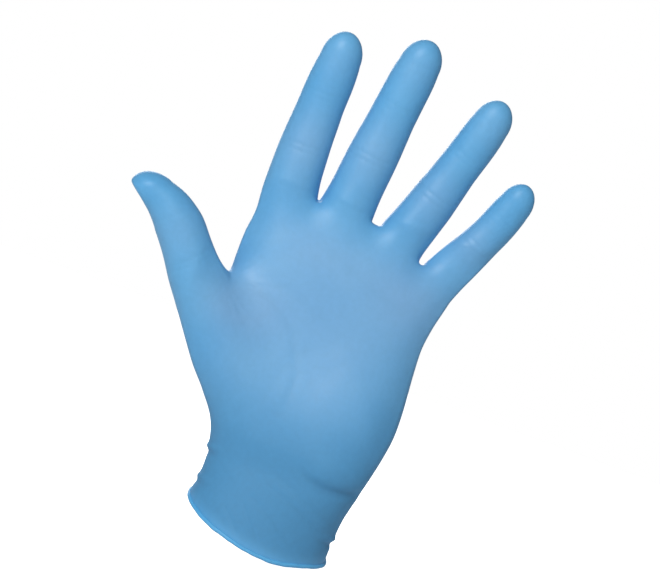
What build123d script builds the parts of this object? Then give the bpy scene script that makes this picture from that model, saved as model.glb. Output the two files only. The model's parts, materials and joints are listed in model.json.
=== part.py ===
from build123d import *

import math
import os
from typing import NamedTuple

# Disposable nitrile glove in its worn, open-hand shape (a left hand, palm towards -Y).
#
# The real glove is one dipped film with a rolled bead. Here the film is cut into rigid bands and
# the folds between them, so that the wrist, the thumb and every finger bend where a gloved hand
# bends. Millimetres. +Z runs from the cuff to the fingertips, +X to the little finger, -Y is the
# palm side. The origin lies at the cuff's axis, just below the centre of its slanted opening.

# ---------------------------------------------------------------- film and cuff
FILM = 0.40            # wall of the film
SEAM = 0.06            # half of the hairline left between neighbouring regions
BEAD_RADIUS = 0.95     # rolled bead at the cuff's edge
BEAD_POINTS = 24       # points on the bead's path
CUFF = (-33.0, 33.4, -25.0, 25.0)          # left x, right x, front y, back y at the bead
RIM_Z, RIM_SLOPE_X, RIM_SLOPE_Y = 7.4, -0.16, 0.38   # rim height on the axis, and its slopes
WRIST_Z, WRIST_GAP = 36.0, 6.5             # height and half height of the wrist fold
SLEEVE_TOP = WRIST_Z + 8.0                 # the sleeve is roughed out up to here

# ---------------------------------------------------------------- palm
# Cuff and palm sections: z, left x, right x, front y, back y, squareness (2 is an ellipse).
# The first lies beyond the rim, which trims it.
PALM = [
    (-14.0, *CUFF, 2.0),
    (8.0, *CUFF, 2.0),
    (20.0, -32.4, 34.6, -24.2, 24.0, 2.05),
    (29.0, -31.6, 36.0, -23.0, 22.4, 2.1),
    (38.0, -32.8, 37.2, -22.2, 20.8, 2.2),
    (50.0, -37.5, 39.4, -21.4, 18.6, 2.3),
    (64.0, -42.0, 42.4, -20.0, 16.8, 2.4),
    (80.0, -45.4, 43.0, -17.6, 15.6, 2.5),
    (98.0, -48.2, 42.4, -15.6, 14.8, 2.6),
    (116.0, -49.4, 43.0, -14.4, 13.8, 2.6),
    (130.0, -49.0, 42.6, -13.2, 12.6, 2.5),
    (140.0, -46.0, 28.5, -10.8, 10.6, 2.3),
    (146.5, -42.0, 19.0, -8.6, 8.6, 2.1),
    (152.5, -37.0, 9.5, -6.0, 6.0, 2.0),
]
PALM_POINTS = 16       # points round each section
PALM_SIDE = Vector(0, -1, 0)

# ---------------------------------------------------------------- fingers
# line: centre x, z and half width of each section up to the taper
# end: x, z of the fingertip
# root, mid, tip: heights of the finger's folds
# lean: how far the fingertip leans to the palm side
FINGERS = {
    "index": dict(
        line=[(-34.2, 118, 12.0), (-35.6, 137, 12.4), (-36.6, 156.8, 12.0), (-37.0, 168.8, 11.6),
              (-36.9, 180.9, 11.0), (-36.4, 193.0, 10.4), (-35.8, 205.0, 10.2),
              (-35.5, 212.5, 9.7)],
        end=(-35.3, 228.0), root=157.5, mid=172.5, tip=197.0, lean=8.5),
    "middle": dict(
        line=[(-11.6, 118, 12.0), (-10.6, 138, 12.3), (-9.7, 156.0, 12.1), (-8.5, 168.0, 11.6),
              (-7.1, 180.0, 11.3), (-5.7, 192.0, 10.8), (-4.3, 203.7, 10.4), (-2.9, 214.5, 10.2),
              (-1.9, 221.0, 9.8)],
        end=(-0.2, 236.4), root=158.0, mid=178.0, tip=203.0, lean=8.5),
    "ring": dict(
        line=[(9.6, 118, 11.4), (14.2, 135, 11.7), (18.4, 150.6, 11.3), (20.9, 158.2, 10.9),
              (24.3, 168.6, 10.6), (27.9, 180.0, 9.8), (31.4, 191.5, 9.4), (34.4, 202.0, 9.3),
              (36.3, 208.2, 8.9)],
        end=(40.0, 222.2), root=156.0, mid=171.0, tip=192.5, lean=8.5),
    "little": dict(
        line=[(29.5, 114, 10.0), (33.4, 123.5, 10.3), (37.2, 132.5, 10.2), (40.6, 140.4, 9.9),
              (43.2, 145.8, 9.6), (46.0, 151.1, 9.2), (48.9, 156.4, 8.8), (51.6, 161.8, 8.5),
              (54.3, 167.2, 8.4), (56.6, 173.0, 8.4), (58.6, 178.0, 8.0)],
        end=(62.8, 190.6), root=145.5, mid=157.5, tip=171.5, lean=7.5),
}
FINGER_Y = -0.6        # centre lines before they lean
DEPTH = 0.88           # finger depth over finger width
ROOT_LEAN = 0.5        # how far the root folds lean towards their finger's own direction
CAP_ANGLES = (62.0, 47.0, 32.0, 17.0)      # sections of the rounded tip; 0 would be its end

# ---------------------------------------------------------------- thumb
# Centre x, y, z and half width; the rounded end starts at the last section
THUMB = [
    (-21.0, -4.5, 51.5, 13.5), (-34.4, -7.0, 69.0, 15.6), (-47.8, -9.5, 86.2, 15.4),
    (-60.0, -12.0, 101.0, 13.3), (-68.0, -13.8, 110.0, 12.0), (-76.0, -15.6, 119.3, 11.3),
    (-81.0, -16.8, 124.2, 10.7), (-86.0, -17.9, 128.4, 9.7), (-91.0, -18.8, 131.8, 8.6),
]
THUMB_END, THUMB_DEPTH = (-102.0, -19.8, 137.0), 0.96
THUMB_PAD = 35.0       # degrees that the thumb's pad is turned from the palm's front
THUMB_FOLD_X = {"mid": -66.5, "tip": -80.0}

# Spacing of the sections filled in along each centre line
PALM_STEP, FINGER_STEP, THUMB_STEP = 11.0, 10.0, 9.0

# ---------------------------------------------------------------- folds
# Half gaps of the folds across a finger: at its back, and at its palm side
FINGER_GAPS = {"root": (1.4, 3.2), "mid": (1.4, 7.9), "tip": (1.4, 4.4)}
THUMB_GAPS = {"mid": (1.4, 4.8), "tip": (1.4, 5.6)}
KNUCKLE_SLOPE = -0.06  # how the knuckle fold drops to +X
STUB_OVERRUN = 1.0     # the hollow of a finger's stub runs on this far, to leave its end open
BEFORE, AFTER = -1, 1  # sides of a fold: towards the cuff or palm, and towards the fingertip
BAND_NAMES = {"root": "base", "mid": "mid", "tip": "tip"}   # the band after each fold


class Fold(NamedTuple):
    """A wedge of film across a finger or the palm, wider at the palm side than at the back."""

    centre: Vector
    travel: Vector     # the direction its two edges lie apart in
    along: Vector      # the normal of its middle plane
    palmar: Vector
    half_depth: float  # the half gaps are measured this far in front of and behind the centre
    gap: tuple         # half gap at the back, and at the palm side

    def edge(self, side, extra):
        """The plane of one edge, moved out of the fold by extra. Its normal leads AFTER."""
        back, front = self.gap
        reach = side * ((back + front) / 2 + extra)
        tilt = side * (front - back) / (2 * self.half_depth)
        return Plane(
            origin=self.centre + self.travel * reach,
            z_dir=self.along - self.palmar * tilt,
        )


SWING_OUT = Vector(-0.9928, 0, -0.12).normalized()   # square to the line the thumb swings about
KNUCKLES = Fold(
    centre=Vector(0, 0, 127.5), travel=Vector(0, 0, 1), along=Vector(-KNUCKLE_SLOPE, 0, 1),
    palmar=PALM_SIDE, half_depth=13.0, gap=(2.0, 8.5))
THUMB_SWING = Fold(
    centre=Vector(-49.0, -6.5, 60.0), travel=SWING_OUT, along=SWING_OUT,
    palmar=PALM_SIDE, half_depth=16.0, gap=(2.5, 7.0))


# ---------------------------------------------------------------- centre lines
def smooth(rows, step, place):
    """Rows of numbers, filled in along a smooth curve. The first `place` numbers are a position."""
    travelled = [0.0]
    for row, following in zip(rows, rows[1:]):
        travelled.append(travelled[-1] + math.dist(row[:place], following[:place]))
    slopes = []
    for i in range(len(rows)):
        a, b = max(i - 1, 0), min(i + 1, len(rows) - 1)
        length = travelled[b] - travelled[a]
        slopes.append([(end - start) / length for start, end in zip(rows[a], rows[b])])
    filled = []
    for i in range(len(rows) - 1):
        length = travelled[i + 1] - travelled[i]
        count = max(1, round(length / step))
        for k in range(count):
            t = k / count
            # cubic Hermite weights of the two rows and the two slopes
            start_weight = 2 * t**3 - 3 * t**2 + 1
            leave_weight = (t**3 - 2 * t**2 + t) * length
            end_weight = 3 * t**2 - 2 * t**3
            arrive_weight = (t**3 - t**2) * length
            filled.append(tuple(
                start_weight * start + leave_weight * leave
                + end_weight * end + arrive_weight * arrive
                for start, end, leave, arrive
                in zip(rows[i], rows[i + 1], slopes[i], slopes[i + 1])
            ))
    return filled + [tuple(rows[-1])]


def stations(name):
    """A finger's sections, root to tip: centre, direction, half width, half depth."""
    if name == "thumb":
        line, end, depth = smooth(THUMB, THUMB_STEP, place=3), Vector(*THUMB_END), THUMB_DEPTH
    else:
        finger = FINGERS[name]
        root, (end_x, end_z) = finger["root"], finger["end"]

        def leaning_y(z):
            return FINGER_Y - finger["lean"] * max(0.0, (z - root) / (end_z - root)) ** 2

        rows = [(x, leaning_y(z), z, width) for x, z, width in finger["line"]]
        line, end, depth = smooth(rows, FINGER_STEP, place=3), Vector(end_x, leaning_y(end_z), end_z), DEPTH
    centres = [Vector(x, y, z) for x, y, z, _ in line]
    widths = [row[3] for row in line]
    cap_start, cap_radius = centres[-1], widths[-1]
    for degrees in CAP_ANGLES:
        angle = math.radians(degrees)
        centres.append(cap_start + (end - cap_start) * math.cos(angle))
        widths.append(cap_radius * math.sin(angle))
    # each direction runs from the section before to the section after
    befores = centres[:1] + centres[:-1]
    afters = centres[1:] + centres[-1:]
    directions = [(after - before).normalized() for before, after in zip(befores, afters)]
    return [(c, d, width, width * depth) for c, d, width in zip(centres, directions, widths)]


def across(direction):
    """The level-in-Y direction across a finger that runs along direction."""
    return Vector(direction.Z, 0, -direction.X).normalized()


def station_at(name, axis, value):
    """Centre, direction and half depth where a finger's centre line passes value on an axis."""
    rows = stations(name)
    for (c0, d0, _, h0), (c1, d1, _, h1) in zip(rows, rows[1:]):
        start, end = getattr(c0, axis), getattr(c1, axis)
        if (start - value) * (end - value) <= 0:
            t = (value - start) / (end - start)
            return c0 + (c1 - c0) * t, (d0 + (d1 - d0) * t).normalized(), h0 + (h1 - h0) * t
    raise ValueError(name)


def finger_fold(name, joint):
    """The fold at a finger's root, mid or tip joint."""
    if name == "thumb":
        centre, along, half_depth = station_at(name, "X", THUMB_FOLD_X[joint])
        turn = math.radians(THUMB_PAD)
        palmar = across(along) * math.sin(turn) + PALM_SIDE * math.cos(turn)
        gap = THUMB_GAPS[joint]
    else:
        centre, along, half_depth = station_at(name, "Z", FINGERS[name][joint])
        if joint == "root":
            along = Vector(along.X * ROOT_LEAN, along.Y, along.Z).normalized()
        palmar = PALM_SIDE
        gap = FINGER_GAPS[joint]
    palmar = (palmar - along * palmar.dot(along)).normalized()
    return Fold(centre, along, along, palmar, half_depth, gap)


def finger_folds(name):
    """A finger's folds by joint, root to tip. The thumb has none at its root."""
    joints = THUMB_GAPS if name == "thumb" else FINGER_GAPS
    return {joint: finger_fold(name, joint) for joint in joints}


# ---------------------------------------------------------------- full volumes
def finger_solid(name, inset):
    """The full volume inside a finger's film, shrunk by inset."""
    rows = stations(name)
    with BuildPart() as solid:
        for i, (centre, along, half_width, half_depth) in enumerate(rows):
            end_inset = inset if i == len(rows) - 1 else 0.0
            origin = centre - along * end_inset
            with BuildSketch(Plane(origin=origin, x_dir=across(along), z_dir=along)):
                Ellipse(half_width - inset, half_depth - inset)
        loft()
    return solid.part


def palm_solid(inset):
    """The full volume inside the cuff and the palm, shrunk by inset."""
    with BuildPart() as solid:
        for z, left, right, front, back, squareness in smooth(PALM, PALM_STEP, place=1):
            end_inset = inset if z == PALM[-1][0] else 0.0
            centre_x = (left + right) / 2
            half_width = (right - left) / 2 - inset - end_inset
            points = []
            for k in range(PALM_POINTS):
                angle = 2 * math.pi * k / PALM_POINTS
                c, s = math.cos(angle), math.sin(angle)
                half_depth = (back if s > 0 else -front) - inset - end_inset
                points.append((
                    centre_x + half_width * math.copysign(abs(c) ** (2 / squareness), c),
                    half_depth * math.copysign(abs(s) ** (2 / squareness), s),
                ))
            with BuildSketch(Plane.XY.offset(z - end_inset)):
                with BuildLine():
                    Spline(*points, periodic=True)
                make_face()
        loft()
    return solid.part


# ---------------------------------------------------------------- cutting and saving
def cut(part, above=None, below=None):
    """What is left of a part above one plane and below another."""
    with BuildPart() as piece:
        add(part)
        if above is not None:
            split(bisect_by=above, keep=Keep.TOP)
        if below is not None:
            split(bisect_by=below, keep=Keep.BOTTOM)
    return piece.part


def cut_fold(part, fold):
    """The film of a fold, a hairline short of its neighbours."""
    return cut(part, above=fold.edge(BEFORE, -SEAM), below=fold.edge(AFTER, -SEAM))


def save(part, name):
    part.label = name
    export_step(part, f"parts/{name}.step")


# ---------------------------------------------------------------- cuff
def cuff_bead():
    """The rolled bead, which follows the slanted edge of the cuff."""
    left, right, front, back = CUFF
    points = []
    for k in range(BEAD_POINTS):
        angle = 2 * math.pi * k / BEAD_POINTS
        x = (left + right) / 2 + (right - left) / 2 * math.cos(angle)
        y = (back - front) / 2 * math.sin(angle)
        points.append((x, y, RIM_Z + RIM_SLOPE_X * x + RIM_SLOPE_Y * y))
    with BuildPart() as bead:
        with BuildLine() as edge_path:
            Spline(*points, periodic=True)
        path = edge_path.wires()[0]
        with BuildSketch(Plane(origin=path @ 0, z_dir=path % 0)):
            Circle(BEAD_RADIUS)
        sweep(path=path)
    return bead.part


def save_cuff(palm_outer, palm_inner):
    """The bead, the sleeve above it and the wrist fold."""
    save(cuff_bead(), "cuff_bead")
    with BuildPart() as sleeve:
        add(palm_outer)
        add(palm_inner, mode=Mode.SUBTRACT)
        split(bisect_by=Plane.XY.offset(SLEEVE_TOP), keep=Keep.BOTTOM)
    rim = Plane(origin=(0, 0, RIM_Z), z_dir=(-RIM_SLOPE_X, -RIM_SLOPE_Y, 1.0))
    wrist_start, wrist_end = WRIST_Z - WRIST_GAP, WRIST_Z + WRIST_GAP
    cuff_sleeve = cut(
        sleeve.part,
        above=rim.offset(BEAD_RADIUS + SEAM),
        below=Plane.XY.offset(wrist_start - SEAM),
    )
    save(cuff_sleeve, "cuff_sleeve")
    wrist_fold = cut(
        sleeve.part,
        above=Plane.XY.offset(wrist_start + SEAM),
        below=Plane.XY.offset(wrist_end - SEAM),
    )
    save(wrist_fold, "wrist_fold")


# ---------------------------------------------------------------- palm, knuckles, thumb's base
def hand_film(palm_outer, palm_inner, outer, inner, first_folds):
    """The hand as one film, open at the wrist, at the four finger roots and at the thumb."""
    outer_stubs, inner_stubs, uppers = [], [], []
    for name, fold in first_folds.items():
        end = fold.edge(BEFORE, SEAM)
        outer_stubs.append(cut(outer[name], below=end))
        inner_stubs.append(cut(inner[name], below=fold.edge(BEFORE, SEAM - STUB_OVERRUN)))
        if name != "thumb":
            uppers.append(cut(outer[name], above=end))
    with BuildPart() as hand_outer:
        add(palm_outer)
        for stub in outer_stubs:
            add(stub)
    with BuildPart() as hand_inner:
        add(palm_inner)
        for stub in inner_stubs:
            add(stub)
    with BuildPart() as hand:
        add(hand_outer.part)
        add(hand_inner.part, mode=Mode.SUBTRACT)
        for upper in uppers:
            add(upper, mode=Mode.SUBTRACT)
        split(bisect_by=Plane.XY.offset(WRIST_Z + WRIST_GAP + SEAM), keep=Keep.TOP)
    return hand.part


def save_hand(hand):
    """The palm, the knuckles and the thumb's base, with the folds between them."""
    palm_side = cut(hand, below=THUMB_SWING.edge(BEFORE, SEAM))
    save(cut(palm_side, below=KNUCKLES.edge(BEFORE, SEAM)), "palm_shell")
    save(cut_fold(palm_side, KNUCKLES), "knuckle_fold")
    save(cut(palm_side, above=KNUCKLES.edge(AFTER, SEAM)), "knuckle_band")
    save(cut_fold(hand, THUMB_SWING), "thumb_swing_fold")
    save(cut(hand, above=THUMB_SWING.edge(AFTER, SEAM)), "thumb_base")


# ---------------------------------------------------------------- finger and thumb tubes
def save_finger(name, outer, inner, folds):
    """A finger's folds, and the band of film after each of them."""
    joints = list(folds)
    with BuildPart() as tube:
        add(outer)
        add(inner, mode=Mode.SUBTRACT)
        split(bisect_by=folds[joints[0]].edge(BEFORE, -SEAM), keep=Keep.TOP)
    for joint, next_joint in zip(joints, joints[1:] + [None]):
        save(cut_fold(tube.part, folds[joint]), f"{name}_{joint}_fold")
        band_end = folds[next_joint].edge(BEFORE, SEAM) if next_joint else None
        band = cut(tube.part, above=folds[joint].edge(AFTER, SEAM), below=band_end)
        save(band, f"{name}_{BAND_NAMES[joint]}")


# ---------------------------------------------------------------- the glove
os.makedirs("parts", exist_ok=True)
names = [*FINGERS, "thumb"]
outer = {name: finger_solid(name, 0.0) for name in names}
inner = {name: finger_solid(name, FILM) for name in names}
palm_outer, palm_inner = palm_solid(0.0), palm_solid(FILM)
folds = {name: finger_folds(name) for name in names}
first_folds = {name: next(iter(folds[name].values())) for name in names}

save_cuff(palm_outer, palm_inner)
save_hand(hand_film(palm_outer, palm_inner, outer, inner, first_folds))
for name in names:
    save_finger(name, outer[name], inner[name], folds[name])
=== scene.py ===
"""A thin blue nitrile glove worn on an open left-standing hand, in 18 film pieces and a bead.

The fingers point to +Z and the thumb leans out to -X. The palm side faces -Y ("front" below) and
the back of the hand faces +Y. The form is a smooth distance field, meshed once, given folds and
cut where the joints bend. Shapes are in millimetres; meshes and the stage are in metres.
"""

import json
import math

import bmesh
import bpy
import numpy as np
import openvdb
from mathutils import Matrix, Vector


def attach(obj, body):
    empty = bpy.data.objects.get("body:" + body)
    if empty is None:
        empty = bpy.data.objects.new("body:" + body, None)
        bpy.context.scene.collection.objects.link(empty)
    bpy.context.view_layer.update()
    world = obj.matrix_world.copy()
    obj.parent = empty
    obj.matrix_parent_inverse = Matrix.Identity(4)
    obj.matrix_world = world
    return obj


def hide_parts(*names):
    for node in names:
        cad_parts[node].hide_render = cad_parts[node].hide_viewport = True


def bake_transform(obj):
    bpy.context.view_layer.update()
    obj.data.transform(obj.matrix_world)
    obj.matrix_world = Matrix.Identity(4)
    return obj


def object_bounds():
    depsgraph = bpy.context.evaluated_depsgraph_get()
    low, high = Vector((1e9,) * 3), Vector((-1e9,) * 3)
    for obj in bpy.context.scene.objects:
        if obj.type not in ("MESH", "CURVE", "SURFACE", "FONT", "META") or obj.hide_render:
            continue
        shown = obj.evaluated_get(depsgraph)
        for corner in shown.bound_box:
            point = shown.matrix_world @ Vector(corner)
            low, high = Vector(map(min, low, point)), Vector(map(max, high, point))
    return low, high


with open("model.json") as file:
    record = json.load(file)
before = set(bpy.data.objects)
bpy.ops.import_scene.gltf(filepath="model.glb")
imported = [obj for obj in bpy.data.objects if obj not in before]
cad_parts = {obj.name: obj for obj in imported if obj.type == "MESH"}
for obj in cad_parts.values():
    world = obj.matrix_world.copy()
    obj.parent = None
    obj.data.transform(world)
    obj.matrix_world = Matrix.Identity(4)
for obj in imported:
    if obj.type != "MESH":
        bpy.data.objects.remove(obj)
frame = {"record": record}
cad_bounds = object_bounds()
JOINT = {joint["name"]: joint for joint in frame["record"]["behaviour"]["joints"]}

MM = 0.001              # metres in a millimetre
VOXEL = 0.8             # cell of the grid that is meshed
FILM = 0.25             # thickness of the film
GRID_LOW = np.array([-110.0, -36.0, -14.0])
GRID_HIGH = np.array([74.0, 33.0, 242.0])
FIELD_LIMIT = 3.0       # the grid's distances are cut off here
FAR = 30.0              # distance given to points away from every finger

# ---------------------------------------------------------------- shape of the worn glove
# line: x, z, half width along the centre line; end: x, z of the tip; lean: how far the tip leans
# to the front; depth: depth over width; root_z: where the lean starts; mid_reach and tip_reach:
# half lengths of the bends at the two curl joints.
FINGERS = {
    "index": dict(
        line=[
            (-34.0, 112, 8.0), (-34.8, 126, 10.6), (-35.8, 140, 11.9), (-36.5, 150, 12.05),
            (-36.7, 156.8, 11.95), (-36.9, 162.8, 11.7), (-37.0, 168.8, 11.6),
            (-37.0, 174.9, 11.3), (-36.9, 180.9, 11.0), (-36.6, 187.0, 10.7),
            (-36.5, 193.0, 10.35), (-36.2, 199.0, 10.4), (-35.8, 205.1, 10.3),
            (-35.5, 211.2, 9.85), (-35.3, 215.0, 9.3),
        ],
        end=(-35.3, 227.6), lean=8.5, depth=0.87, root_z=150.0, mid_reach=8.0, tip_reach=5.5),
    "middle": dict(
        line=[
            (-11.8, 112, 8.0), (-11.2, 126, 10.6), (-10.4, 140, 11.9), (-9.9, 150, 12.1),
            (-9.5, 156.0, 12.0), (-9.1, 162.0, 11.65), (-8.5, 167.9, 11.5), (-7.8, 173.9, 11.55),
            (-7.1, 179.9, 11.45), (-6.5, 185.8, 11.2), (-5.7, 191.8, 10.8), (-5.1, 197.8, 10.45),
            (-4.3, 203.7, 10.35), (-3.5, 209.7, 10.25), (-2.7, 215.6, 10.15),
            (-1.9, 221.5, 9.85), (-1.5, 224.0, 9.4),
        ],
        end=(-0.1, 236.2), lean=8.5, depth=0.87, root_z=151.0, mid_reach=8.0, tip_reach=5.5),
    "ring": dict(
        line=[
            (8.0, 112, 7.5), (11.4, 126, 9.8), (15.2, 140, 11.2), (18.2, 151.6, 11.2),
            (20.5, 157.2, 10.95), (22.3, 162.9, 10.75), (24.3, 168.6, 10.6), (26.0, 174.3, 10.25),
            (27.9, 180.0, 9.8), (29.5, 185.8, 9.5), (31.4, 191.5, 9.35), (33.2, 197.3, 9.4),
            (34.9, 203.0, 9.3), (36.3, 208.0, 9.05), (37.0, 210.4, 8.7),
        ],
        end=(40.0, 221.6), lean=8.5, depth=0.88, root_z=147.0, mid_reach=7.6, tip_reach=5.3),
    "little": dict(
        line=[
            (26.0, 104, 6.5), (31.6, 118, 8.4), (36.4, 130, 9.8), (40.6, 140.4, 9.75),
            (43.2, 145.8, 9.65), (46.0, 151.1, 9.35), (48.9, 156.4, 8.8), (51.6, 161.8, 8.45),
            (54.3, 167.2, 8.35), (56.5, 172.8, 8.35), (58.6, 178.4, 8.05), (59.4, 180.4, 7.7),
        ],
        end=(62.9, 190.4), lean=7.5, depth=0.88, root_z=138.0, mid_reach=6.4, tip_reach=5.0),
}
FINGER_Y = -0.6         # centre of a finger before it leans
FINGER_BACK = 0.97      # back half depth over front half depth
THUMB_BACK = 0.96
# x, y, z, half width, half depth
THUMB = [
    (-20.0, -3.0, 50.0, 9.0, 9.0), (-30.0, -5.0, 63.0, 13.4, 14.0),
    (-40.2, -7.4, 76.0, 14.6, 14.6), (-50.0, -10.0, 89.0, 14.0, 13.8),
    (-60.0, -12.4, 101.0, 12.8, 12.4), (-64.2, -13.2, 105.4, 12.1, 11.8),
    (-67.8, -14.0, 110.2, 11.5, 11.3), (-71.4, -14.8, 115.0, 11.1, 11.0),
    (-75.1, -15.6, 120.0, 11.1, 10.9), (-79.2, -16.5, 124.3, 10.6, 10.6),
    (-83.6, -17.4, 128.1, 9.7, 9.7), (-88.2, -18.2, 131.4, 9.0, 8.7),
    (-92.4, -18.8, 133.0, 8.1, 7.8),
]
THUMB_END = (-99.6, -19.6, 136.0)
# Palm and cuff: z, low x, high x, front y, back y, power of the superellipse
PALM = np.array([
    (-16.0, -32.9, 34.0, -25.0, 25.0, 2.0), (2.0, -32.9, 34.0, -25.0, 25.0, 2.0),
    (13.0, -32.9, 34.0, -24.6, 24.6, 2.0), (20.0, -31.6, 34.4, -24.0, 24.0, 2.05),
    (26.0, -31.0, 35.4, -23.2, 23.2, 2.1), (32.0, -31.4, 36.4, -21.6, 22.2, 2.15),
    (38.0, -32.6, 37.2, -22.0, 21.2, 2.2), (44.0, -33.6, 38.4, -22.8, 20.2, 2.25),
    (50.0, -34.6, 39.5, -22.8, 19.2, 2.3), (56.0, -36.2, 40.9, -22.2, 18.2, 2.35),
    (64.0, -38.6, 42.5, -20.8, 17.2, 2.4), (72.0, -41.0, 43.0, -19.2, 16.4, 2.45),
    (80.0, -43.4, 43.0, -17.8, 15.8, 2.5), (92.0, -46.6, 42.6, -16.2, 15.2, 2.55),
    (104.0, -48.6, 42.4, -15.2, 14.6, 2.6), (116.0, -49.3, 43.0, -14.4, 13.8, 2.6),
    (124.0, -49.0, 43.2, -13.8, 13.2, 2.55), (131.0, -48.0, 41.6, -12.8, 12.2, 2.5),
    (138.0, -44.5, 30.6, -10.6, 10.2, 2.3), (146.0, -38.0, 17.0, -7.2, 7.0, 2.1),
    (149.6, -34.0, 9.0, -5.0, 5.0, 2.0),
])
PALM_TOP = PALM[-1, 0]
PALM_CAP = 2.5          # height of the rounding above the last section
RIM_Z, RIM_SLOPE_X, RIM_SLOPE_Y = 7.4, -0.16, 0.38
CUFF_CENTRE_X = 0.55

# ---------------------------------------------------------------- small helpers


def smoothstep(t):
    t = np.clip(t, 0.0, 1.0)
    return t * t * (3 - 2 * t)


def ramp(t, soft=0.18):
    """0 to 1, straight in the middle and rounded over the share soft at both ends."""
    t = np.clip(t, 0.0, 1.0)
    slope = 1.0 / (1.0 - soft)
    low = 0.5 * slope * t * t / soft
    middle = slope * (t - soft / 2)
    high = 1 - 0.5 * slope * (1 - t) ** 2 / soft
    return np.where(t < soft, low, np.where(t > 1 - soft, high, middle))


def bell(distance, sigma):
    return np.exp(-0.5 * (distance / sigma) ** 2)


def spot(p, x, z, radius_x, radius_z):
    """A round bell in the x-z plane."""
    return np.exp(-0.5 * (((p[:, 0] - x) / radius_x) ** 2 + ((p[:, 2] - z) / radius_z) ** 2))


def fade_ends(t, start, end):
    """1 along a line, falling to 0 at both ends; larger rates fade faster."""
    return smoothstep(t * start) * smoothstep((1 - t) * end)


def smooth_min(a, b, reach):
    h = np.maximum(reach - np.abs(a - b), 0.0) / reach
    return np.minimum(a, b) - h * h * reach * 0.25


def unit(v):
    v = np.array(v, float)
    return v / np.linalg.norm(v)


def pin(joint):
    """A joint's place."""
    return np.array(JOINT[joint]["pos_m"]) / MM


def curve(xs, ys, sigma=2.5, step=0.25):
    """A dense smooth curve through xs, ys, run on straight past both ends: (positions, values)."""
    xs, ys = np.asarray(xs, float), np.asarray(ys, float)
    pad = 4 * sigma
    grid = np.arange(xs[0] - pad, xs[-1] + pad + step, step)
    start = ys[0] + (grid - xs[0]) * (ys[1] - ys[0]) / (xs[1] - xs[0])
    end = ys[-1] + (grid - xs[-1]) * (ys[-1] - ys[-2]) / (xs[-1] - xs[-2])
    values = np.where(grid < xs[0], start, np.interp(grid, xs, ys))
    values = np.where(grid > xs[-1], end, values)
    n = int(pad / step)
    kernel = bell(np.arange(-n, n + 1) * step, sigma)
    padded = np.pad(values, n, mode="edge")
    return grid, np.convolve(padded, kernel / kernel.sum(), mode="valid")


# ---------------------------------------------------------------- distance field


def section_distance(dx, dy, half_x, half_y, end, end_slope=0.0, power=2.0):
    """Close to the distance from a superellipse section; end is the share of a rounded end."""
    ax, ay = np.abs(dx) / half_x, np.abs(dy) / half_y
    total = ax**power + ay**power + end**2
    rho = np.maximum(total, 1e-9) ** (1 / power)
    slope_x, slope_y = ax ** (power - 1) / half_x, ay ** (power - 1) / half_y
    slope = np.sqrt(slope_x * slope_x + slope_y * slope_y + end_slope**2) * rho ** (1 - power)
    return (rho - 1) / np.maximum(slope, 0.6 / np.maximum(half_x, half_y))


class Tube:
    """A tapering tube with rounded ends, measured along a straight line through it."""

    START_CAP = 8.0     # length of the rounding below the first row
    MARGIN = 9.0        # room around the tube in its box

    def __init__(self, rows, end):
        """rows: x, y, z, half width, front half depth, back half depth; end: x, y, z."""
        rows, end = np.array(rows, float), np.array(end, float)
        self.start = rows[0, [0, 2]]
        run = end[[0, 2]] - self.start
        self.u = run / np.linalg.norm(run)
        self.v = np.array([self.u[1], -self.u[0]])
        rel = rows[:, [0, 2]] - self.start
        s = rel @ self.u
        self.length = run @ self.u
        self.s_tip = s[-1]
        s_all = np.append(s, self.length)
        self.offset = curve(s_all, np.append(rel @ self.v, run @ self.v))
        self.y = curve(s_all, np.append(rows[:, 1], end[1]), sigma=4.0)
        self.half_width, self.front, self.back = (curve(s, rows[:, k]) for k in (3, 4, 5))
        self.reach = float(rows[:, 3:].max()) + self.MARGIN
        centres = np.vstack([rows[:, :3], end])
        self.low, self.high = centres.min(0) - self.reach, centres.max(0) + self.reach

    def near(self, p):
        return ((p > self.low) & (p < self.high)).all(-1)

    def local(self, p):
        """Length along the tube, and the side and depth offsets from its centre line."""
        q = np.stack([p[..., 0] - self.start[0], p[..., 2] - self.start[1]], -1)
        s = q @ self.u
        side = q @ self.v - np.interp(s, *self.offset)
        depth = p[..., 1] - np.interp(s, *self.y)
        return s, side, depth

    def width_at(self, s):
        return np.interp(np.clip(s, 0.0, self.s_tip), *self.half_width)

    def __call__(self, p):
        s, side, depth = self.local(p)
        s_row = np.clip(s, 0.0, self.s_tip)
        half_depth = np.where(
            depth < 0, np.interp(s_row, *self.front), np.interp(s_row, *self.back))
        over, under = s - self.s_tip, -s
        span = self.length - self.s_tip
        cap = self.START_CAP
        end = np.where(over > 0, over / span, np.where(under > 0, under / cap, 0.0))
        width = np.where(over > 0, span, cap)
        return section_distance(side, depth, self.width_at(s), half_depth, end, end / width)


def finger_tube(line, end, lean, depth, root_z, **_):
    rows = []
    for x, z, half in line:
        q = max(0.0, (z - root_z) / (end[1] - root_z))
        y = FINGER_Y - lean * q * q
        rows.append((x, y, z, half, half * depth, half * depth * FINGER_BACK))
    return Tube(rows, (end[0], FINGER_Y - lean, end[1]))


TUBES = {name: finger_tube(**finger) for name, finger in FINGERS.items()}
TUBES["thumb"] = Tube([(x, y, z, a, b, b * THUMB_BACK) for x, y, z, a, b in THUMB], THUMB_END)
PALM_CURVES = [curve(PALM[:, 0], PALM[:, k], sigma=2.2) for k in range(1, 6)]


def blob(p, centre, radii, turn=0.0):
    """An ellipsoid, turned about Y."""
    d = p - np.array(centre, float)
    c, s = math.cos(turn), math.sin(turn)
    x, z = d[..., 0] * c - d[..., 2] * s, d[..., 0] * s + d[..., 2] * c
    q = np.sqrt((x / radii[0]) ** 2 + (d[..., 1] / radii[1]) ** 2 + (z / radii[2]) ** 2)
    return (q - 1) * min(radii)


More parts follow.
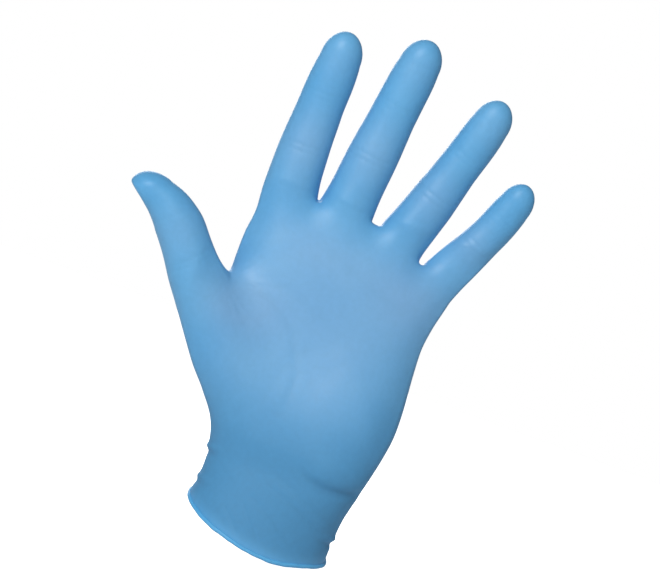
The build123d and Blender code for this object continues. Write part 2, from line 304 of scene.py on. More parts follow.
def plane(p, point, normal):
    """Signed distance to a plane along Y, given by x and z."""
    return (p[..., 0] - point[0]) * normal[0] + (p[..., 2] - point[1]) * normal[1]


def palm_field(p):
    z = np.minimum(p[..., 2], PALM_TOP)
    x_low, x_high, y_front, y_back, power = (np.interp(z, *c) for c in PALM_CURVES)
    d = section_distance(
        p[..., 0] - (x_low + x_high) / 2, p[..., 1],
        half_x=(x_high - x_low) / 2, half_y=np.where(p[..., 1] < 0, -y_front, y_back),
        end=np.maximum(p[..., 2] - PALM_TOP, 0.0) / PALM_CAP, power=power)
    # the swelling low on the front, across from the thumb
    swelling = blob(p, centre=(22, -11.0, 58), radii=(15, 10.6, 27), turn=0.15)
    return smooth_min(d, swelling, 15.0)


def thumb_field(p):
    tip = blob(p, centre=(-94.0, -18.8, 132.3), radii=(9.4, 7.4, 7.8))
    thumb = smooth_min(TUBES["thumb"](p), tip, 2.0)
    # the outer lower side of the tip is cut by two flats that meet in a corner
    low = plane(p, (-103.3, 132.5), (-0.617, -0.787))
    outer = plane(p, (-94.0, 125.6), (-0.783, -0.622)) - 60.0 * smoothstep((p[..., 0] + 87) / 12)
    flats = smooth_min(low, outer, 1.5)
    return -smooth_min(-thumb, -flats, 1.2)


def field(p):
    """Negative inside the worn glove."""
    fingers = np.full(p.shape[:-1], FAR)
    for name in FINGERS:
        near = TUBES[name].near(p)
        if near.any():
            fingers[near] = smooth_min(fingers[near], TUBES[name](p[near]), 5.6)
    d = smooth_min(palm_field(p), fingers, 7.5)
    near = TUBES["thumb"].near(p)
    if near.any():
        d[near] = smooth_min(d[near], thumb_field(p[near]), 9.5)
    return d


def gradient(p, e=0.3):
    g = np.empty_like(p)
    for k in range(3):
        q = p.copy()
        q[..., k] += e
        ahead_value = field(q)
        q[..., k] -= 2 * e
        g[..., k] = (ahead_value - field(q)) / (2 * e)
    return g


# ---------------------------------------------------------------- surface mesh


def build_surface():
    count = np.ceil((GRID_HIGH - GRID_LOW) / VOXEL).astype(int) + 1
    xs, ys, zs = (GRID_LOW[k] + VOXEL * np.arange(count[k]) for k in range(3))
    values = np.full(tuple(count), FIELD_LIMIT, np.float32)
    slab = 16           # layers worked out at a time, which limits the memory used
    for i in range(0, count[0], slab):
        p = np.stack(np.meshgrid(xs[i : i + slab], ys, zs, indexing="ij"), -1)
        values[i : i + slab] = np.clip(field(p), -FIELD_LIMIT, FIELD_LIMIT)
    grid = openvdb.FloatGrid(FIELD_LIMIT)
    grid.copyFromArray(values)
    points, quads = grid.convertToQuads(0.0)
    points = points.astype(float) * VOXEL + GRID_LOW
    # Newton steps bring the points onto the exact surface.
    for _ in range(3):
        g = gradient(points)
        f = field(points)
        points -= (f / np.maximum((g * g).sum(-1), 0.05))[:, None] * g
    return points, quads.astype(int)


def vertex_normals(points, quads):
    a, b, c, d = (points[quads[:, k]] for k in range(4))
    face_normals = np.cross(c - a, d - b)
    normals = np.zeros_like(points)
    for k in range(4):
        np.add.at(normals, quads[:, k], face_normals)
    return normals / np.maximum(np.linalg.norm(normals, axis=1), 1e-12)[:, None]


def face_edges(quads):
    return np.concatenate([quads[:, [k, (k + 1) % 4]] for k in range(4)])


def open_edges(quads, point_count):
    """Edges that only one face uses, in that face's direction."""
    edges = face_edges(quads)
    code = np.sort(edges, axis=1)
    code = code[:, 0].astype(np.int64) * point_count + code[:, 1]
    _, index, count = np.unique(code, return_index=True, return_counts=True)
    return edges[index[count == 1]]


def relax(points, quads, weight, rounds):
    """Pulls the weighted points towards their neighbours, which evens them like a taut film."""
    edges = face_edges(quads)
    edges = edges[weight[edges[:, 0]] > 0]
    used, local = np.unique(edges, return_inverse=True)
    a, b = local.reshape(edges.shape).T
    q, w = points[used].copy(), weight[used][:, None]
    n = np.maximum(np.bincount(a, minlength=len(used)), 1)[:, None]
    for _ in range(rounds):
        mean = np.stack([np.bincount(a, q[b, k], len(used)) for k in range(3)], 1) / n
        q += np.where(w > 0, w * (mean - q), 0.0)
    points = points.copy()
    points[used] = q
    return points


def rim_z(x, y):
    """Height of the slanted rim, raised on the front at high x."""
    lift = 2.2 * smoothstep((x - 6) / 24) * smoothstep((6 - y) / 20)
    return RIM_Z + RIM_SLOPE_X * x + RIM_SLOPE_Y * y + lift


# ---------------------------------------------------------------- folds and creases of the film
# points (x, z), depth, sigma
CUFF_CREASES = (
    ([(-6, 30), (10, 24), (33, 13)], 0.20, 0.8),
    ([(-1, 34), (16, 27), (37, 17)], 0.13, 0.8),
    ([(-12, 24), (4, 15), (20, 3)], 0.15, 0.9),
    ([(-10.5, 19), (-3, 10), (4, 1)], 0.18, 0.8),
    ([(-18, 15), (-10, 7), (-4, 0)], 0.12, 0.8),
    ([(-26, 30), (-14, 22)], 0.06, 1.1),
)
PALM_LINES = (
    ([(-46, 112), (-30, 106), (-14, 94), (-6, 78), (-6, 60), (-10, 48)], 0.14, 1.5),
    ([(-44, 113), (-24, 112), (-4, 105), (14, 95), (24, 84)], 0.07, 1.6),
    ([(42, 118), (28, 120), (10, 125), (-8, 133), (-22, 142)], 0.08, 1.8),
)
HEEL_CREASE = [(7, 41.5), (14, 36.5), (22, 34.4), (30, 34.6), (40, 37.0)]
# x, z, height
KNUCKLES = ((-33.0, 127.0, 1.7), (-8.5, 131.0, 1.9), (14.5, 127.0, 1.7), (33.0, 117.0, 1.4))
# place along the finger from the joint, share of the depth
FRONT_CREASES = ((-1.5, 0.8), (1.3, 1.0))
BACK_CREASES = ((-4.2, 0.5), (-1.8, 0.9), (0.7, 1.0), (3.4, 0.7))


def line_distance(x, z, points):
    """Distance in the x-z plane to a bent line, and the nearest point's place on it (0 to 1)."""
    points = np.array(points, float)
    best = np.full(x.shape, 1e9)
    along = np.zeros(x.shape)
    lengths = np.linalg.norm(np.diff(points, axis=0), axis=1)
    total, run = lengths.sum(), 0.0
    for a, b, length in zip(points, points[1:], lengths):
        d = (b - a) / length
        t = np.clip((x - a[0]) * d[0] + (z - a[1]) * d[1], 0, length)
        q = np.hypot(x - a[0] - d[0] * t, z - a[1] - d[1] * t)
        near = q < best
        best = np.where(near, q, best)
        along = np.where(near, (run + t) / total, along)
        run += length
    return best, along


def cuff_folds(p, front):
    """Slack folds, fading out towards the palm."""
    x, y, z = p.T
    arc = np.arctan2(y, x - 0.6) * 31.0     # length round the cuff
    slack = smoothstep((46.0 - z) / 22.0)
    rng = np.random.RandomState(7)
    folds = np.zeros(len(p))
    for _ in range(34):
        arc_0, z_0, slope = rng.uniform(-98, 98), rng.uniform(4, 36), rng.uniform(-1.3, 1.3)
        length, sigma, high = rng.uniform(9, 22), rng.uniform(1.1, 2.4), rng.uniform(0.10, 0.34)
        c, s = math.cos(math.atan(slope)), math.sin(math.atan(slope))
        along = (arc - arc_0) * c + (z - z_0) * s
        across = -(arc - arc_0) * s + (z - z_0) * c
        folds += rng.choice([-1, 1]) * high * bell(across, sigma) * bell(along, length * 0.5)
    h = folds * slack * (0.22 + 0.58 * (1 - front))
    # each crease has a ridge beside it
    for points, depth, sigma in CUFF_CREASES:
        d, t = line_distance(x, z, points)
        profile = 0.6 * bell(d - 1.9, sigma) - bell(d, sigma)
        h += front * depth * profile * fade_ends(t, 4, 4)
    # wide waves
    waves = np.sin(arc * 0.105 + 1.2 * np.sin(z * 0.11) + 0.6) * np.sin(z * 0.07 + 1.0)
    h += slack * (0.10 + 0.14 * (1 - front)) * waves
    # two folds at the cuff's thumb edge, and a notch at its other edge
    thumb_edge, far_edge = smoothstep((-x - 23.0) / 9.0), smoothstep((x - 27.0) / 8.0)
    h += thumb_edge * (0.80 * bell(z - 34.4, 1.0) - 0.45 * bell(z - 31.9, 1.2))
    h += thumb_edge * (0.62 * bell(z - 20.6, 1.0) - 0.40 * bell(z - 18.2, 1.1))
    h += far_edge * (0.75 * bell(z - 14.2, 0.9) - 0.85 * bell(z - 11.6, 1.0))
    return h


def palm_folds(p, front):
    x, _, z = p.T
    # the crease under the heel of the hand, and the swelling above it
    d, t = line_distance(x, z, HEEL_CREASE)
    h = -front * 1.25 * bell(d, 1.5) * smoothstep(t * 2.2) * (0.5 + 0.5 * t)
    h += front * 0.75 * bell(z - 41.0, 3.6) * smoothstep((x - 10) / 14)
    # palm lines, soft under the stretched film
    for points, depth, sigma in PALM_LINES:
        d, t = line_distance(x, z, points)
        h -= front * depth * bell(d, sigma) * fade_ends(t, 5, 4)
    # tension lines that fan out from the thumb's web
    radius = np.hypot(x + 50, z - 106)
    angle = np.arctan2(z - 106, x + 50)
    fan = np.sin(angle * 26) * bell(radius - 14, 7)
    h += 0.045 * front * fan * smoothstep((x + 62) / 12) * (0.6 + 0.4 * np.sin(angle * 7 + 1))
    return h


def digit_folds(name, p, n):
    """Creases at the joints of one finger or the thumb, and the nail under the film."""
    tube = TUBES[name]
    s, side, depth = tube.local(p)
    # the thumb is turned, so its front faces partly to +X
    facing = n[:, 1] - 0.5 * n[:, 0] if name == "thumb" else n[:, 1]
    front, back = smoothstep(-facing * 1.6), smoothstep(facing * 1.6)
    bow = 0.012 * side**2       # creases bend away from the middle
    h = np.zeros(len(s))
    for suffix, size in (("root_bend", None), ("mid_curl", 0.30), ("tip_curl", 0.20)):
        joint = f"{name}_{suffix}"
        if joint not in JOINT:  # not every digit has all three joints
            continue
        from_joint = s - (pin(joint)[[0, 2]] - tube.start) @ tube.u
        if suffix == "root_bend":
            h -= front * 0.07 * bell(from_joint + 3 - bow, 0.9)
            continue
        for shift, share in FRONT_CREASES:
            h -= front * size * 0.70 * share * bell(from_joint - shift - bow, 0.62)
        h += front * 0.08 * bell(from_joint, 4.5)
        for shift, share in BACK_CREASES:
            h -= back * size * 1.05 * share * bell(from_joint - shift + bow * 1.5, 0.7)
        h += back * 0.60 * bell(from_joint + 0.5, 5.5)
    # the nail, at the back of the tip
    u, v = (s - (tube.length - 10.5)) / 7.0, side / (tube.width_at(tube.s_tip) * 0.74)
    h += back * 0.48 * smoothstep((1.0 - (np.abs(u) ** 3 + np.abs(v) ** 3)) * 2.2)
    room = tube.reach - 6.0
    inside = (np.abs(side) < room) & (np.abs(depth) < room)
    return h * smoothstep(1.25 - np.abs(side) / tube.width_at(s)) * inside


def film_detail(p, n):
    """Height of the film's folds above the smooth form."""
    x, y, z = p.T
    front, back = smoothstep(-n[:, 1] * 1.6), smoothstep(n[:, 1] * 1.6)
    h = cuff_folds(p, front) + palm_folds(p, front)
    for name, tube in TUBES.items():
        near = tube.near(p)
        h[near] += digit_folds(name, p[near], n[near])
    # the knuckles, and the tendons that run from them over the back of the hand
    for knuckle_x, knuckle_z, high in KNUCKLES:
        h += back * high * spot(p, knuckle_x, knuckle_z, 6.0, 6.5)
        t = np.clip((z - 60) / (knuckle_z - 60), 0, 1)
        h += back * 0.55 * bell(x - knuckle_x * (0.45 + 0.55 * t), 2.6) * fade_ends(t, 3, 5)
    # slight unevenness everywhere
    wave_x = np.sin(x * 0.42 + 1.3 * np.sin(z * 0.17))
    wave_z = np.sin(z * 0.31 + 0.9 * np.sin(x * 0.23))
    return h + 0.05 * wave_x * wave_z * np.sin(y * 0.3 + 1.0)


# ---------------------------------------------------------------- colour masks
# x, z, radius in x, radius in z, amount
TINT_SPOTS = (
    (-41, 99, 12, 9, 0.85), (-36.8, 174, 8, 12, 0.75), (-7.5, 180, 8, 12, 0.65),
    (24, 171, 8, 11, 0.6), (47, 158, 7, 9, 0.6), (-30, 74, 14, 18, 0.35),
    (-10, 133, 22, 8, 0.35), (26, 128, 14, 9, 0.3), (-75, 119, 9, 9, 0.4),
    (6, 104, 30, 24, 0.60), (34, 122, 13, 13, 0.40), (-22, 120, 18, 16, 0.25),
    (14, 72, 18, 20, 0.22), (-36, 214, 7, 8, 0.3), (-2, 222, 7, 8, 0.3), (37, 209, 7, 8, 0.25),
)


def colour_masks(p, n, height):
    """tint: skin showing through; cuff: darker towards the wrist but for a painted band of light
    along the rim, with painted shade at the heel of the hand; the crease mask: painted shade in the
    folds, darker where they are deeper.
    """
    front = smoothstep(-n[:, 1] * 1.5 + 0.3)
    tint = sum(amount * spot(p, *place) for *place, amount in TINT_SPOTS)
    tint = np.clip(tint, 0, 1) * (0.35 + 0.65 * front)
    rim_gap = p[:, 2] - rim_z(p[:, 0], p[:, 1])
    # darker towards the wrist, less so in a narrow band just above the rim: that band is painted
    # light shining through the film's thin edge
    cuff = smoothstep((80.0 - p[:, 2]) / 46.0) * (1 - 0.95 * bell(rim_gap, 2.8))
    # painted shade: a darker patch at the heel of the hand, on its far side
    cuff = np.maximum(cuff, 0.62 * spot(p, 40, 58, 9, 16))
    # the last mask is painted shade in the folds, darker the deeper the fold
    return dict(tint=tint, cuff=cuff, crease_shade=np.clip(-height / 0.9, 0, 1))


# ---------------------------------------------------------------- division into pieces
CUT_WRIST = 50.5        # z between cuff and palm
KNUCKLE_LOW, KNUCKLE_HIGH = -13.0, 13.5     # the knuckle film, measured from its joint
THUMB_LOW = -19.0       # start of the thumb's film, measured from its swing joint
THUMB_FREE_X = -53.0    # the thumb is clear of the hand below this x
# between fingers: x, z of the web and the angle of the cut from Z, in degrees
WEBS = ((-23.1, 153.8, 0.35), (4.8, 152.1, 10.1), (28.1, 139.9, 18.6))


def across_joint(joint, coordinate, sign):
    """The direction in X and Z square to a joint's axis, with the given sign."""
    direction = unit(np.cross(JOINT[joint]["axis"], (0, -1, 0)))
    return direction if direction[coordinate] * sign > 0 else -direction


def along_tube(name, dip):
    u = TUBES[name].u
    return unit((u[0], -dip, u[1]))


ROW_UP = across_joint("knuckle_bend", 2, 1)
SWING_OUT = across_joint("thumb_swing", 0, -1)
THUMB_ALONG = along_tube("thumb", 0.16)


def ahead(p, joint, direction):
    return (p - pin(joint)) @ direction


def label_faces(mid):
    """The name of the piece that each face centre belongs to."""
    x, z = mid[:, 0], mid[:, 2]
    row = ahead(mid, "knuckle_bend", ROW_UP)
    swing = ahead(mid, "thumb_swing", SWING_OUT)
    lane = np.zeros(len(mid), int)
    for web_x, web_z, degrees in WEBS:
        a = math.radians(degrees)
        lane += ((x - web_x) * math.cos(a) - (z - web_z) * math.sin(a) > 0).astype(int)
    off_hand = x < THUMB_FREE_X
    on_thumb = (swing > THUMB_LOW) & (z > CUT_WRIST) & ((row < KNUCKLE_LOW) | off_hand)
    label = np.full(len(mid), "palm_film", dtype=object)
    label[z <= CUT_WRIST] = "cuff_film"
    label[on_thumb] = "thumb_root_film"
    curl = ahead(mid, "thumb_mid_curl", THUMB_ALONG)
    thumb_far = on_thumb & off_hand & (curl > -6.0)
    label[thumb_far] = "thumb_middle_film"
    label[thumb_far & (curl > 8.5)] = "thumb_tip_film"
    upper = ~on_thumb & (row >= KNUCKLE_LOW)
    label[upper] = "knuckle_film"
    for k, (name, finger) in enumerate(FINGERS.items()):
        mine = upper & (row > KNUCKLE_HIGH) & (lane == k)
        middle = ahead(mid, f"{name}_mid_curl", along_tube(name, 0.10))
        tip = ahead(mid, f"{name}_tip_curl", along_tube(name, 0.20))
        label[mine] = f"{name}_root_film"
        label[mine & (middle > -finger["mid_reach"] - 0.6)] = f"{name}_middle_film"
        label[mine & (tip > -finger["tip_reach"] - 1.0)] = f"{name}_tip_film"
    return label


# ---------------------------------------------------------------- materials


def add_node(tree, kind, inputs=None, **settings):
    node = tree.nodes.new(f"ShaderNode{kind}")
    for key, value in settings.items():
        setattr(node, key, value)
    for key, value in (inputs or {}).items():
        node.inputs[key].default_value = value
    return node


def nitrile(name, base, deep, pink):
    """Clouded film between base and deep, tinted pink, darker on the cuff, with painted shade at
    the heel of the hand and in the creases.
    """
    material = bpy.data.materials.new(name)
    material.use_nodes = True
    tree = material.node_tree
    tree.nodes.clear()
    link = tree.links.new
    out = add_node(tree, "OutputMaterial")
    bsdf = add_node(tree, "BsdfPrincipled", {
        "Roughness": 0.44, "Specular IOR Level": 0.42,
        "Sheen Weight": 0.0, "Sheen Roughness": 0.4})
    link(bsdf.outputs[0], out.inputs[0])
    rest = add_node(tree, "Attribute", attribute_name="rest_position")
    clouds = add_node(tree, "TexNoise", {"Scale": 26.0, "Detail": 3.0})
    link(rest.outputs["Vector"], clouds.inputs["Vector"])
    grain = add_node(tree, "TexNoise", {"Scale": 420.0, "Detail": 4.0})
    link(rest.outputs["Vector"], grain.inputs["Vector"])
    colours = add_node(tree, "ValToRGB")
    for stop, place, colour in zip(colours.color_ramp.elements, (0.34, 0.68), (deep, base)):
        stop.position = place
        stop.color = (*colour, 1)
    link(clouds.outputs["Fac"], colours.inputs["Fac"])
    masks = [add_node(tree, "Attribute", attribute_name=n) for n in ("tint", "cuff", "crease_shade")]
    # the cuff mask also carries the painted shade at the heel of the hand
    cuff_and_heel_shade_mask = masks[1].outputs["Fac"]
    # Each mask mixes in its own colour by its own amount.
    colour = colours.outputs["Color"]
    # the cuff colour darkens towards the wrist and paints shade at the heel; the crease colour is
    # painted shade in the folds
    targets = (pink, tuple(v * 0.74 for v in deep), tuple(v * 0.62 for v in deep))
    for mask, target, amount in zip(masks, targets, (0.42, 0.84, 0.55)):
        # sockets 6 and 7 are the two colours, output 2 is the mixed one
        mix = add_node(tree, "Mix", data_type="RGBA")
        share = add_node(tree, "Math", {1: amount}, operation="MULTIPLY")
        link(mask.outputs["Fac"], share.inputs[0])
        link(share.outputs[0], mix.inputs[0])
        link(colour, mix.inputs[6])
        mix.inputs[7].default_value = (*target, 1)
        colour = mix.outputs[2]
    speckle = add_node(tree, "MapRange", {"To Min": 0.94, "To Max": 1.06})
    link(grain.outputs["Fac"], speckle.inputs["Value"])
    scale = add_node(tree, "VectorMath", operation="SCALE")
    link(colour, scale.inputs[0])
    link(speckle.outputs[0], scale.inputs["Scale"])
    link(scale.outputs[0], bsdf.inputs["Base Color"])
    rough = add_node(tree, "MapRange", {"To Min": 0.38, "To Max": 0.52})
    link(grain.outputs["Fac"], rough.inputs["Value"])
    # the slack cuff is duller than the stretched film
    dull = add_node(tree, "Math", {1: 0.22}, operation="MULTIPLY_ADD")
    link(cuff_and_heel_shade_mask, dull.inputs[0])
    link(rough.outputs[0], dull.inputs[2])
    link(dull.outputs[0], bsdf.inputs["Roughness"])
    bump = add_node(tree, "Bump", {"Strength": 0.10, "Distance": 0.0004})
    link(grain.outputs["Fac"], bump.inputs["Height"])
    link(bump.outputs[0], bsdf.inputs["Normal"])
    return material


# ---------------------------------------------------------------- film pieces


def add_object(name, data):
    obj = bpy.data.objects.new(name, data)
    bpy.context.scene.collection.objects.link(obj)
    return obj


def add_attributes(mesh, co, masks):
    for name, values in masks.items():
        attribute = mesh.attributes.new(name, "FLOAT", "POINT")
        attribute.data.foreach_set("value", values.astype(np.float32))
    attribute = mesh.attributes.new("rest_position", "FLOAT_VECTOR", "POINT")
    attribute.data.foreach_set("vector", co.astype(np.float32).ravel())


def make_piece(name, points, normals, quads, masks, material):
    """One closed piece of film: outer side, inner side, and the strip between them at its edges.

    Returns the object and its vertices' places on the outer surface."""
    used, local = np.unique(quads, return_inverse=True)
    local = local.reshape(quads.shape)
    k = len(used)
    outer, normals = points[used], normals[used]
    co = np.concatenate([outer, outer - normals * FILM]) * MM
    rim = open_edges(local, k)
    strips = np.stack([rim[:, 1], rim[:, 0], rim[:, 0] + k, rim[:, 1] + k], 1)
    inner = local[:, ::-1]
    faces = np.concatenate([local, inner + k, strips])
    mesh = bpy.data.meshes.new(name)
    mesh.vertices.add(len(co))
    mesh.vertices.foreach_set("co", co.astype(np.float32).ravel())
    mesh.loops.add(faces.size)
    mesh.loops.foreach_set("vertex_index", faces.astype(np.int32).ravel())
    mesh.polygons.add(len(faces))
    mesh.polygons.foreach_set("loop_start", np.arange(0, faces.size, 4, dtype=np.int32))
    mesh.update(calc_edges=True)
    mesh.polygons.foreach_set("use_smooth", np.ones(len(faces), bool))
    add_attributes(mesh, co, {key: np.tile(v[used], 2) for key, v in masks.items()})
    # Both sides keep the whole surface's normals, so that the cuts between pieces don't show.
    s = co[strips]
    flat = np.cross(s[:, 2] - s[:, 0], s[:, 3] - s[:, 1])
    flat /= np.maximum(np.linalg.norm(flat, axis=1), 1e-15)[:, None]
    loop_normals = np.concatenate([
        normals[local].reshape(-1, 3), -normals[inner].reshape(-1, 3), np.repeat(flat, 4, axis=0)])
    mesh.normals_split_custom_set(loop_normals.tolist())
    mesh.materials.append(material)
    obj = add_object(name, mesh)
    return obj, np.tile(outer, (2, 1))


def bend(piece, joint, direction, reach, replaced, weights=None):
    """Works out weights for a piece over reach = (before, after) around the joint, and hides the
    parts it replaces; nothing uses the weights.
    """
    obj, p = piece
    before, after = reach
    c, d = pin(joint), unit(direction)
    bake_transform(obj)
    w = ramp(((p - c) @ d + before) / (before + after)) if weights is None else weights(p)
    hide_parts(*replaced)


SWING_REACH = (14.0, 10.0)


def thumb_weights(p):
    """The thumb's swing, held back at the wrist and the knuckles and full at the thumb's middle."""
    d = ahead(p, "thumb_swing", SWING_OUT)
    swing = ramp((d + SWING_REACH[0]) / sum(SWING_REACH))
    w = swing * smoothstep((p[:, 2] - CUT_WRIST - 1.0) / 14.0)
    hand = p[:, 0] > -54.0
    top = smoothstep((-ahead(p, "knuckle_bend", ROW_UP) - 13.2) / 9.0)
    w = np.where(hand, w * top, w)
    curl = ahead(p, "thumb_mid_curl", THUMB_ALONG)
    w = 1 - (1 - w) * smoothstep((-curl - 6.2) / 10.0)
    return np.where(hand & (d < -2), np.minimum(w, swing), w)


def attach_pieces(pieces):
    bend(pieces["cuff_film"], "wrist_bend", (0, 0, 1), (11.0, 11.0),
         ("cuff_sleeve", "wrist_fold"))
    palm, _ = pieces["palm_film"]
    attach(palm, "palm")
    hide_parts("palm_shell")
    bend(pieces["thumb_root_film"], "thumb_swing", SWING_OUT,
         SWING_REACH, ("thumb_swing_fold", "thumb_base"), thumb_weights)
    bend(pieces["thumb_middle_film"], "thumb_mid_curl",
         THUMB_ALONG, (5.6, 5.6), ("thumb_mid_fold", "thumb_mid"))
    bend(pieces["thumb_tip_film"], "thumb_tip_curl",
         THUMB_ALONG, (7.0, 7.0), ("thumb_tip_fold", "thumb_tip"))
    bend(pieces["knuckle_film"], "knuckle_bend", ROW_UP, (12.0, 12.0),
         ("knuckle_fold", "knuckle_band"))
    for name, finger in FINGERS.items():
        base, middle, tip = f"{name}_base", f"{name}_mid", f"{name}_tip"
        root_joint = f"{name}_root_bend"
        bend(pieces[f"{name}_root_film"], root_joint,
             across_joint(root_joint, 2, 1), (3.4, 5.4), (f"{name}_root_fold", base))
        bend(pieces[f"{name}_middle_film"], f"{middle}_curl",
             along_tube(name, 0.10), (finger["mid_reach"],) * 2, (f"{middle}_fold", middle))
        bend(pieces[f"{name}_tip_film"], f"{tip}_curl",
             along_tube(name, 0.20), (finger["tip_reach"],) * 2, (f"{tip}_fold", tip))


# ---------------------------------------------------------------- rolled bead


def make_bead(loop, material):
    """The slightly uneven ring on the rim; loop holds the film's points there."""
    segments, sides = 220, 14
    radius_mean, stretch = 0.98, 1.05
    angle = np.arctan2(loop[:, 1], loop[:, 0] - CUFF_CENTRE_X)
    order = np.argsort(angle)
    angle, loop = angle[order], loop[order]
    turns = np.concatenate([angle - 2 * math.pi, angle, angle + 2 * math.pi])
    t = np.linspace(-math.pi, math.pi, segments, endpoint=False)
    x, y = (np.interp(t, turns, np.tile(loop[:, k], 3)) for k in (0, 1))
    centre = np.stack([x, y, np.zeros(segments)], 1)
    for _ in range(6):
        centre = (np.roll(centre, 1, 0) + centre * 2 + np.roll(centre, -1, 0)) / 4
    waver = 0.10 * np.sin(t * 9 + 1) + 0.06 * np.sin(t * 23)
    centre[:, 2] = rim_z(centre[:, 0], centre[:, 1]) + waver
    tangent = np.roll(centre, -1, 0) - np.roll(centre, 1, 0)
    tangent /= np.linalg.norm(tangent, axis=1)[:, None]
    outward = np.cross(tangent, (0, 0, 1.0))
    outward /= np.linalg.norm(outward, axis=1)[:, None]
    upward = np.cross(outward, tangent)
    radius = radius_mean + 0.05 * np.sin(t * 5 + 0.4) + 0.03 * np.sin(t * 17 + 2)
    radius = (radius + 0.02 * np.sin(t * 41))[:, None, None]
    phi = np.linspace(0, 2 * math.pi, sides, endpoint=False)[None, :, None]
    section = np.cos(phi) * outward[:, None] * stretch + np.sin(phi) * upward[:, None]
    co = (centre[:, None] + radius * section).reshape(-1, 3) * MM
    i, k = np.meshgrid(np.arange(segments), np.arange(sides), indexing="ij")
    row, next_row = i * sides, (i + 1) % segments * sides
    next_k = (k + 1) % sides
    faces = np.stack([row + k, next_row + k, next_row + next_k, row + next_k], -1)
    mesh = bpy.data.meshes.new("rolled_bead")
    mesh.from_pydata(co.tolist(), [], faces.reshape(-1, 4).tolist())
    mesh.update()
    bm = bmesh.new()
    bm.from_mesh(mesh)
    bmesh.ops.recalc_face_normals(bm, faces=bm.faces)
    bm.to_mesh(mesh)
    bm.free()
    mesh.polygons.foreach_set("use_smooth", np.ones(len(mesh.polygons), bool))
    # the ring of the original places is stored too; the masks are empty
    add_attributes(mesh, co, {name: np.zeros(len(co)) for name in ("tint", "cuff", "crease_shade")})
    mesh.materials.append(material)
    bead = add_object("rolled_bead", mesh)
    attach(bead, "cuff")
    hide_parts("cuff_bead")


# ---------------------------------------------------------------- stage, light and camera (m)


def floor_material():
    """Pale floor that glows towards the camera, more with distance, and so fades into white."""
    material = bpy.data.materials.new("pale_floor")
    material.use_nodes = True
    tree = material.node_tree
    link = tree.links.new
    bsdf = tree.nodes["Principled BSDF"]
    noise = add_node(tree, "TexNoise", {"Scale": 3.0})
    colours = add_node(tree, "ValToRGB")
    colours.color_ramp.elements[0].color = (0.86, 0.86, 0.87, 1)
    colours.color_ramp.elements[1].color = (0.90, 0.90, 0.90, 1)
    link(noise.outputs["Fac"], colours.inputs["Fac"])
    link(colours.outputs["Color"], bsdf.inputs["Base Color"])
    bsdf.inputs["Roughness"].default_value = 0.9
    bsdf.inputs["Specular IOR Level"].default_value = 0.1
    bsdf.inputs["Emission Color"].default_value = (1, 1, 1, 1)
    path = add_node(tree, "LightPath")
    glow = add_node(tree, "Math", operation="MULTIPLY")
    place = add_node(tree, "NewGeometry")
    distance = add_node(tree, "VectorMath", operation="LENGTH")
    fade = add_node(tree, "MapRange", {
        "From Min": 0.10, "From Max": 0.45, "To Min": 0.84, "To Max": 1.0})
    link(place.outputs["Position"], distance.inputs[0])
    link(distance.outputs["Value"], fade.inputs["Value"])
    link(path.outputs["Is Camera Ray"], glow.inputs[0])
    link(fade.outputs[0], glow.inputs[1])
    link(glow.outputs[0], bsdf.inputs["Emission Strength"])
    return material


def make_floor():
    half, z = 6.0, min(v[2] for v in cad_bounds) - 0.004
    mesh = bpy.data.meshes.new("floor")
    corners = [(-half, -half, z), (half, -half, z), (half, half, z), (-half, half, z)]
    mesh.from_pydata(corners, [], [(0, 1, 2, 3)])
    add_object("floor", mesh)
    mesh.materials.append(floor_material())


def make_world():
    """White to the camera, a dim cool light to everything else."""
    world = bpy.data.worlds.new("studio")
    bpy.context.scene.world = world
    world.use_nodes = True
    tree = world.node_tree
    tree.nodes.clear()
    out = add_node(tree, "OutputWorld")
    path = add_node(tree, "LightPath")
    seen = add_node(tree, "Background", {"Color": (1, 1, 1, 1), "Strength": 1.0})
    light = add_node(tree, "Background", {"Color": (0.93, 0.96, 1, 1), "Strength": 0.26})
    mix = add_node(tree, "MixShader")
    tree.links.new(path.outputs["Is Camera Ray"], mix.inputs[0])
    tree.links.new(light.outputs[0], mix.inputs[1])
    tree.links.new(seen.outputs[0], mix.inputs[2])
    tree.links.new(mix.outputs[0], out.inputs[0])


def placed(x_axis, y_axis, z_axis, position):
    rows = zip(x_axis, y_axis, z_axis, position)
    return Matrix([*rows, (0, 0, 0, 1)])


def area_light(name, position, size, power, target=(-0.004, 0.0, 0.115)):
    light = bpy.data.lights.new(name, "AREA")
    light.shape, light.size, light.energy, light.color = "DISK", size, power, (1, 1, 1)
    obj = add_object(name, light)
    z = unit(np.array(position) - np.array(target))
    x = unit(np.cross((0, 0, 1), z))
    obj.matrix_world = placed(x, np.cross(z, x), z, position)


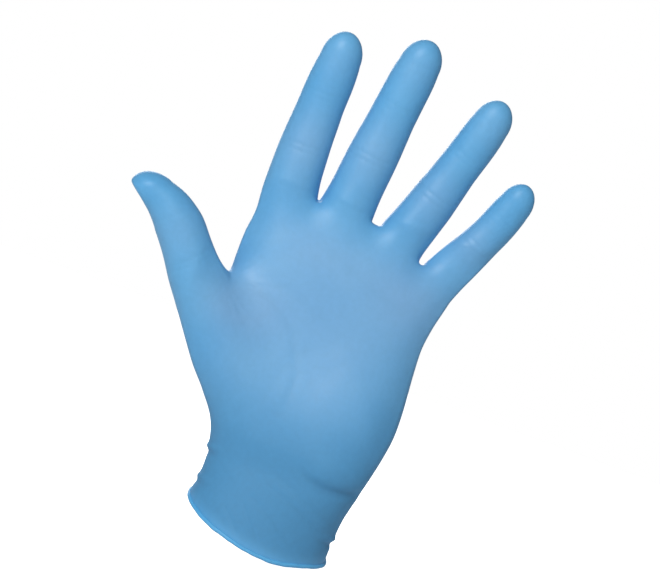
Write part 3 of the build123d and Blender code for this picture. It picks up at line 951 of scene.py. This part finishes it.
def make_camera():
    """Looks along +Y at the front, rolled about its view."""
    roll, distance, view_width = math.radians(20.0), 1.9, 0.2924
    view_centre = np.array([-0.0042, -0.004, 0.1161])
    data = bpy.data.cameras.new("camera")
    camera = add_object("camera", data)
    right = np.array([math.cos(roll), 0.0, math.sin(roll)])
    up = np.array([-math.sin(roll), 0.0, math.cos(roll)])
    backward = np.cross(right, up)
    data.sensor_width = 36.0
    data.lens = 36.0 * distance / view_width
    data.clip_end = 50.0
    camera.matrix_world = placed(right, up, backward, view_centre + backward * distance)
    bpy.context.scene.camera = camera


# ---------------------------------------------------------------- build
points, quads = build_surface()
normals = vertex_normals(points, quads)
if (normals[:, 0] * points[:, 0]).sum() < 0:    # the faces should point outwards
    quads = quads[:, ::-1]
    normals = -normals

# The film is stretched flat over the palm and the back of the hand.
x, _, z = points.T
taut = smoothstep((np.abs(normals[:, 1]) - 0.34) / 0.36) * smoothstep((x + 64) / 12)
taut *= smoothstep((z - 44) / 12) * smoothstep((157 - z) / 10)
points = relax(points, quads, taut, rounds=320)
normals = vertex_normals(points, quads)

height = film_detail(points, normals)
points = points + normals * height[:, None]
normals = vertex_normals(points, quads)

# The film ends in the bead, on the slanted rim.
quads = quads[(points[:, 2] > rim_z(points[:, 0], points[:, 1]))[quads].all(1)]
border = np.unique(open_edges(quads, len(points)))
points[border, 2] = rim_z(points[border, 0], points[border, 1])

masks = colour_masks(points, normals, height)
labels = label_faces(points[quads].mean(1))
film = nitrile("nitrile_film", base=(0.126, 0.416, 0.718), deep=(0.096, 0.372, 0.684),
               pink=(0.290, 0.435, 0.655))
# The bead's blue is lighter than the film's: painted light, for light showing through the thin
# rolled edge.
bead_blue_with_painted_light = nitrile("nitrile_bead_painted_light", base=(0.118, 0.455, 0.780), deep=(0.092, 0.410, 0.745),
                    pink=(0.118, 0.455, 0.780))
attach_pieces({
    name: make_piece(name, points, normals, quads[labels == name], masks, film)
    for name in sorted(set(labels))})
make_bead(points[border], bead_blue_with_painted_light)

make_floor()
bpy.context.scene.view_settings.view_transform = "Standard"
make_world()
area_light("key", position=(-0.62, -1.30, 0.80), size=0.55, power=14.5)
area_light("fill", position=(0.60, -1.45, 0.20), size=1.3, power=3.2)
area_light("back", position=(-0.40, 1.35, 0.60), size=0.9, power=8.0)
make_camera()
